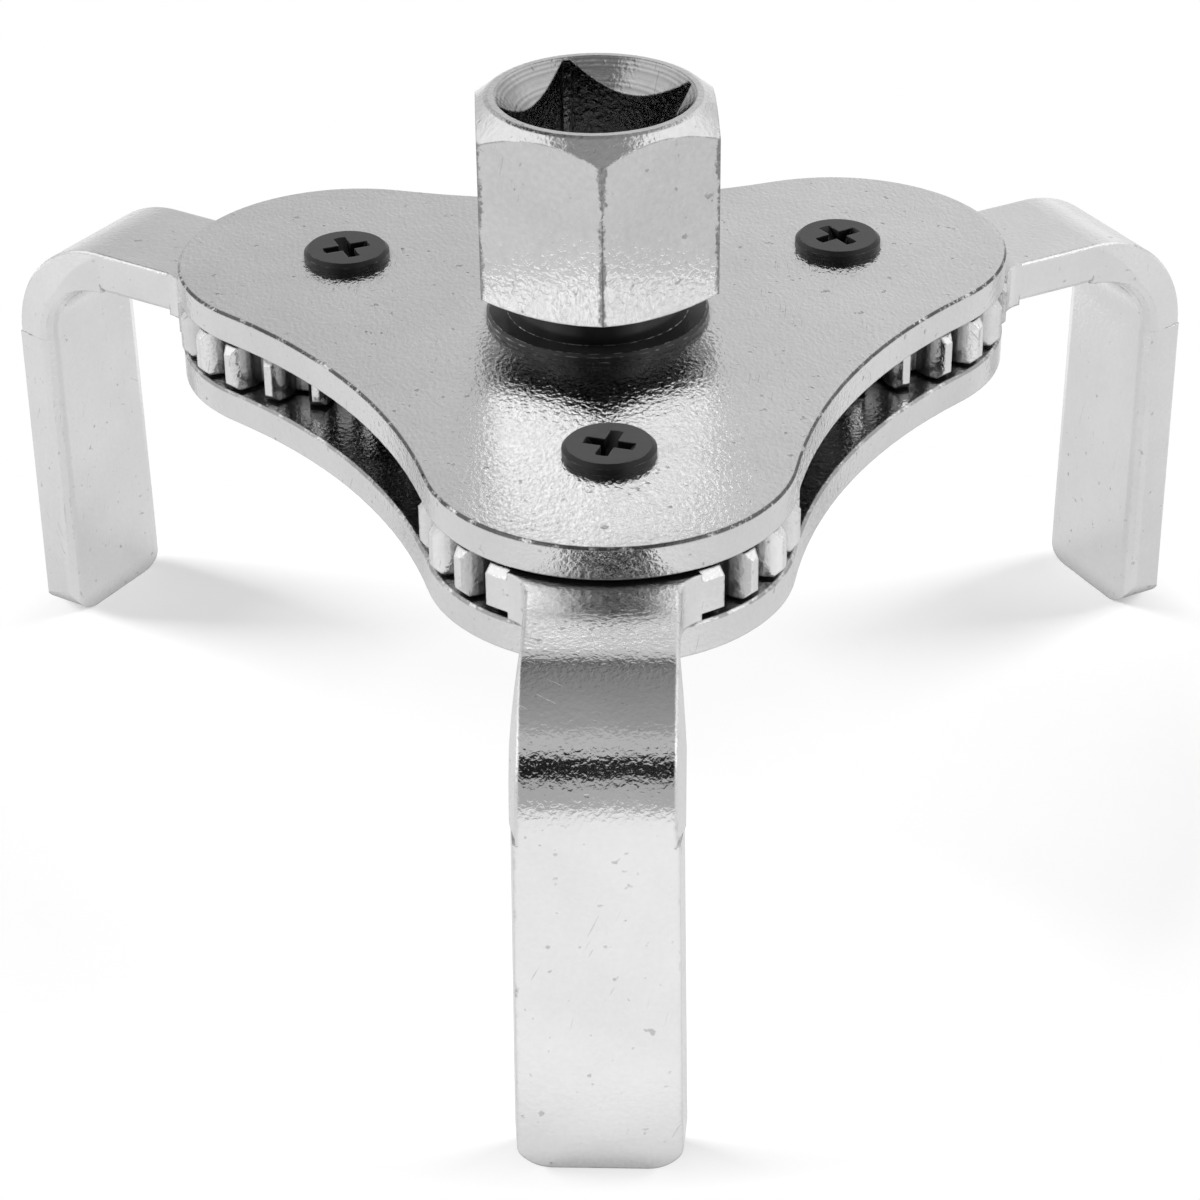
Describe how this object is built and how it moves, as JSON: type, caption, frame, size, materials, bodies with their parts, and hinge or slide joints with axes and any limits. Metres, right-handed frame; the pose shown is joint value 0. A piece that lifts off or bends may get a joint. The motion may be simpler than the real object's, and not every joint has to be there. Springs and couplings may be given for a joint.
{
  "type": "oil filter wrench",
  "caption": "Self-gripping oil filter wrench: geared swinging jaws with bent legs between lobed plates, turned by a hexagon head with a square drive hole.",
  "frame": {"origin": "on the tool axis, in the plane of the leg ends that the tool stands on", "axes": "+Z along the tool axis towards the hexagon head; -Y towards the pivot of the front jaw"},
  "size_m": [0.1155, 0.1025, 0.0672],
  "materials": {
    "plated_plate": "satin zinc plating with a fine speckle",
    "plated_jaw": "bright zinc plating on a cut and bent bar",
    "plated_drive": "bright zinc plating on turned hexagon steel",
    "plated_inner": "plain zinc plating",
    "black_oxide": "black oxide, slightly oiled"
  },
  "bodies": {
    "frame": {"top_plate": "plated_plate", "bottom_plate": "plated_plate", "neck_bush": "black_oxide", "post_front": "plated_inner", "post_right": "plated_inner", "post_left": "plated_inner", "plate_screws": "black_oxide"},
    "spindle": {"drive_spindle": "plated_drive", "sun_gear": "plated_inner", "thrust_washer": "plated_inner", "retaining_ring": "black_oxide"},
    "front_jaw": {"jaw_front": "plated_jaw"},
    "right_jaw": {"jaw_right": "plated_jaw"},
    "left_jaw": {"jaw_left": "plated_jaw"}
  },
  "joints": [
    {"name": "spindle_turn", "type": "hinge", "parent": "frame", "child": "spindle", "pos_m": [0, 0, 0.0405], "axis": [0, 0, 1], "range_deg": [-134, 124]},
    {"name": "front_jaw_swing", "type": "hinge", "parent": "frame", "child": "front_jaw", "pos_m": [0, -0.0266, 0.04052], "axis": [0, 0, 1], "range_deg": [-102, 110]},
    {"name": "right_jaw_swing", "type": "hinge", "parent": "frame", "child": "right_jaw", "pos_m": [0.02304, 0.0133, 0.04052], "axis": [0, 0, 1], "range_deg": [-102, 110]},
    {"name": "left_jaw_swing", "type": "hinge", "parent": "frame", "child": "left_jaw", "pos_m": [-0.02304, 0.0133, 0.04052], "axis": [0, 0, 1], "range_deg": [-102, 110]}
  ],
  "couplings": [
    {"joint": "front_jaw_swing", "follows": "spindle_turn", "ratio": -0.81818},
    {"joint": "right_jaw_swing", "follows": "spindle_turn", "ratio": -0.81818},
    {"joint": "left_jaw_swing", "follows": "spindle_turn", "ratio": -0.81818}
  ]
}
